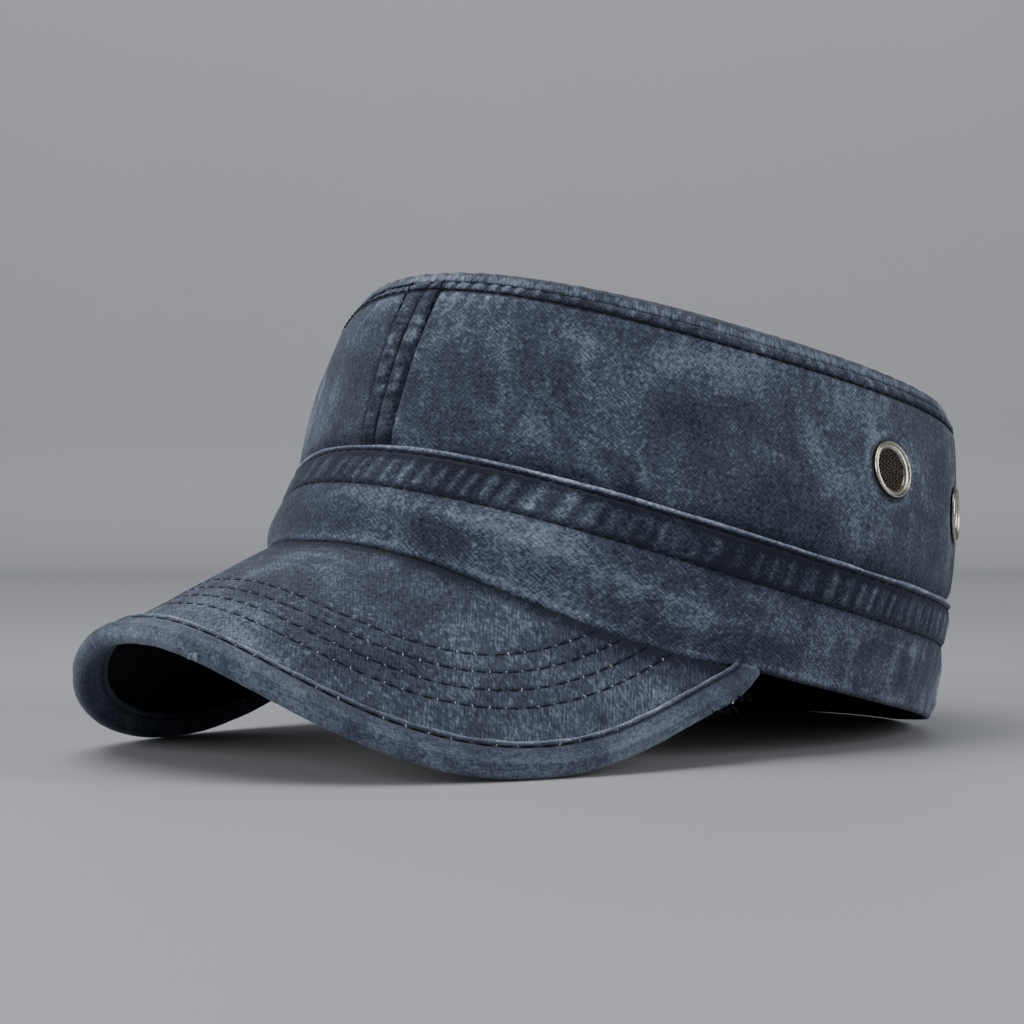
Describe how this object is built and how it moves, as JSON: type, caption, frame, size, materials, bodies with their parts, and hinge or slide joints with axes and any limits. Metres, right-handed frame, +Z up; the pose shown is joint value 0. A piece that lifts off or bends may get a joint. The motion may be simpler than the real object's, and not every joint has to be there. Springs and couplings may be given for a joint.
{
  "type": "kepi cap",
  "caption": "Flat-topped cloth cap in washed twill with a wide folded band, an arched stitched peak and metal eyelets.",
  "frame": {"origin": "middle of the bottom of the whole cap's box, on the surface that the cap rests on", "axes": "+Z is up, the peak points to -Y, and the wearer's left is +X. The cap rests pitched front-up, as it lies by itself."},
  "size_m": [0.181, 0.2654, 0.1231],
  "materials": {
    "twill": "washed blue cotton twill, mottled and worn light along the folds",
    "binding": "washed blue cotton twill, a little lighter",
    "lining": "dark matte cotton",
    "eyelet_metal": "antique nickel, darkened in the hollows",
    "eyelet_mesh": "fine dark wire mesh"
  },
  "bodies": {
    "root": {"top_panel": "twill", "crown_left": "twill", "crown_right": "twill", "band": "twill", "sweatband": "lining", "peak_upper": "twill", "peak_lower": "lining", "peak_binding": "binding", "eyelet_left_1": "eyelet_metal", "eyelet_left_2": "eyelet_metal", "eyelet_right_1": "eyelet_metal", "eyelet_right_2": "eyelet_metal", "mesh_left_1": "eyelet_mesh", "mesh_left_2": "eyelet_mesh", "mesh_right_1": "eyelet_mesh", "mesh_right_2": "eyelet_mesh"}
  },
  "joints": []
}
